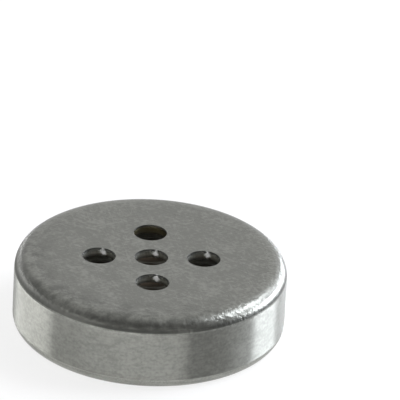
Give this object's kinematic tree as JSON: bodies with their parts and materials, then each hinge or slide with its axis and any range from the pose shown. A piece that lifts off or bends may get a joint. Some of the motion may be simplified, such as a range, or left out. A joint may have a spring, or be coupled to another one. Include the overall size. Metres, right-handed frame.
{
  "type": "electret microphone capsule",
  "caption": "Round electret microphone capsule: drawn metal case with sound holes in the front, rolled over a rear circuit board with solder pads.",
  "frame": {"origin": "centre of the plane on which the rolled rear rim rests", "axes": "+Z along the case axis, from the rear rim to the front with the sound holes; +X from the ground pad to the output pad"},
  "size_m": [0.006, 0.006, 0.0016],
  "materials": {
    "case_aluminium": "drawn and tumbled, satin",
    "diaphragm_brass": "stamped, bright",
    "metallised_film": "thin metallised film",
    "spacer_film": "clear amber film",
    "electret_film": "clear fluoropolymer film",
    "plate_steel": "stamped, satin",
    "ring_plastic": "moulded, matt",
    "contact_brass": "turned, bright",
    "laminate": "glass-epoxy laminate",
    "plated_copper": "copper with thin gold flash",
    "solder_mask": "green lacquer, semi-gloss",
    "solder": "dull tin solder",
    "chip_plastic": "moulded epoxy, matt",
    "tinned_lead": "tin plated",
    "ceramic": "fired ceramic"
  },
  "bodies": {
    "root": {"case": "case_aluminium", "diaphragm_ring": "diaphragm_brass", "diaphragm": "metallised_film", "spacer_ring": "spacer_film", "electret_film": "electret_film", "back_plate": "plate_steel", "insulating_ring": "ring_plastic", "contact_ring": "contact_brass", "circuit_board": "laminate", "ground_copper": "plated_copper", "output_pad": "plated_copper", "rear_solder_mask": "solder_mask", "ground_solder": "solder", "output_solder": "solder", "vias": "plated_copper", "gate_track": "plated_copper", "source_track": "plated_copper", "drain_track": "plated_copper", "jfet_body": "chip_plastic", "jfet_leads": "tinned_lead", "capacitor_body": "ceramic", "capacitor_terminals": "tinned_lead"}
  },
  "joints": []
}
